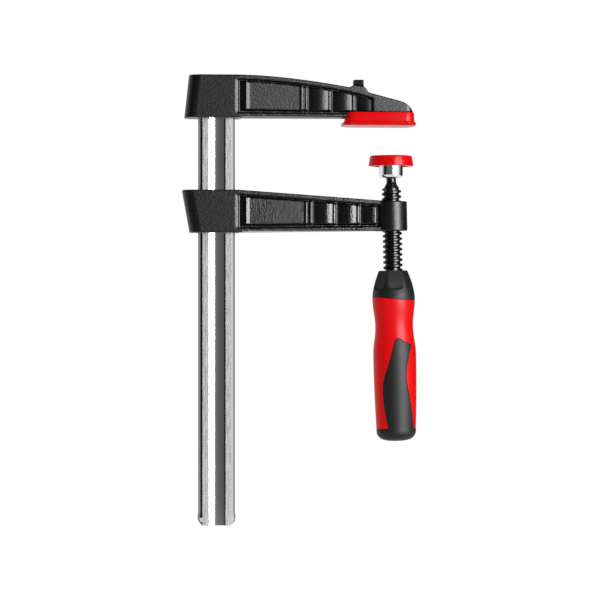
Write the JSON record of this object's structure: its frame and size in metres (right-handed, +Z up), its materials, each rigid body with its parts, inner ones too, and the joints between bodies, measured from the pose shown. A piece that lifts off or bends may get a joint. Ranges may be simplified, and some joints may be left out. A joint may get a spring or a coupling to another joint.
{
  "type": "screw clamp",
  "caption": "Bar-type screw clamp: cast jaws on a profiled steel rail, a trapezoidal screw with swivelling pressure plate, red protective caps and a two-component handle.",
  "frame": {"origin": "centre of the fixed jaw's clamping face, on the axis of the pad", "axes": "+Z up along the rail towards the fixed jaw, +X away from the rail, +Y across the clamp"},
  "size_m": [0.1787, 0.0344, 0.3406],
  "materials": {
    "rail_steel": "zinc-plated cold-drawn steel",
    "black_casting": "black powder coat over a sand casting",
    "red_cap": "moulded red plastic",
    "spindle_steel": "black-oxide rolled thread",
    "ring_steel": "spring wire",
    "plate_steel": "bright zinc-plated turned steel",
    "handle_red": "moulded red polypropylene",
    "handle_black": "black soft overmould"
  },
  "bodies": {
    "frame": {"rail": "rail_steel", "fixed_jaw": "black_casting", "jaw_cap": "red_cap"},
    "sliding_jaw": {"sliding_jaw": "black_casting"},
    "ring": {"retaining_ring": "ring_steel"},
    "screw": {"spindle": "spindle_steel", "handle_core": "handle_red", "handle_collar": "handle_black", "soft_grip": "handle_black"},
    "pressure_pad": {"pressure_plate": "plate_steel", "pad_cap": "red_cap"}
  },
  "joints": [
    {"name": "jaw_slide", "type": "slide", "parent": "frame", "child": "sliding_jaw", "axis": [0, 0, 1], "range_m": [-0.21, 0]},
    {"name": "spindle_feed", "type": "slide", "parent": "sliding_jaw", "child": "ring", "axis": [-0.0201, 0, 0.9998], "range_m": [-0.016, 0.019]},
    {"name": "spindle_turn", "type": "hinge", "parent": "ring", "child": "screw", "pos_m": [0, 0, -0.0322], "axis": [-0.0201, 0, 0.9998], "range_deg": [-1441, 1711]},
    {"name": "pad_tilt", "type": "hinge", "parent": "ring", "child": "pressure_pad", "pos_m": [0, 0, -0.0322], "axis": [0, 1, 0], "range_deg": [-6, 6]}
  ],
  "couplings": [
    {"joint": "spindle_turn", "follows": "spindle_feed", "rad_per_m": 1570.8}
  ]
}
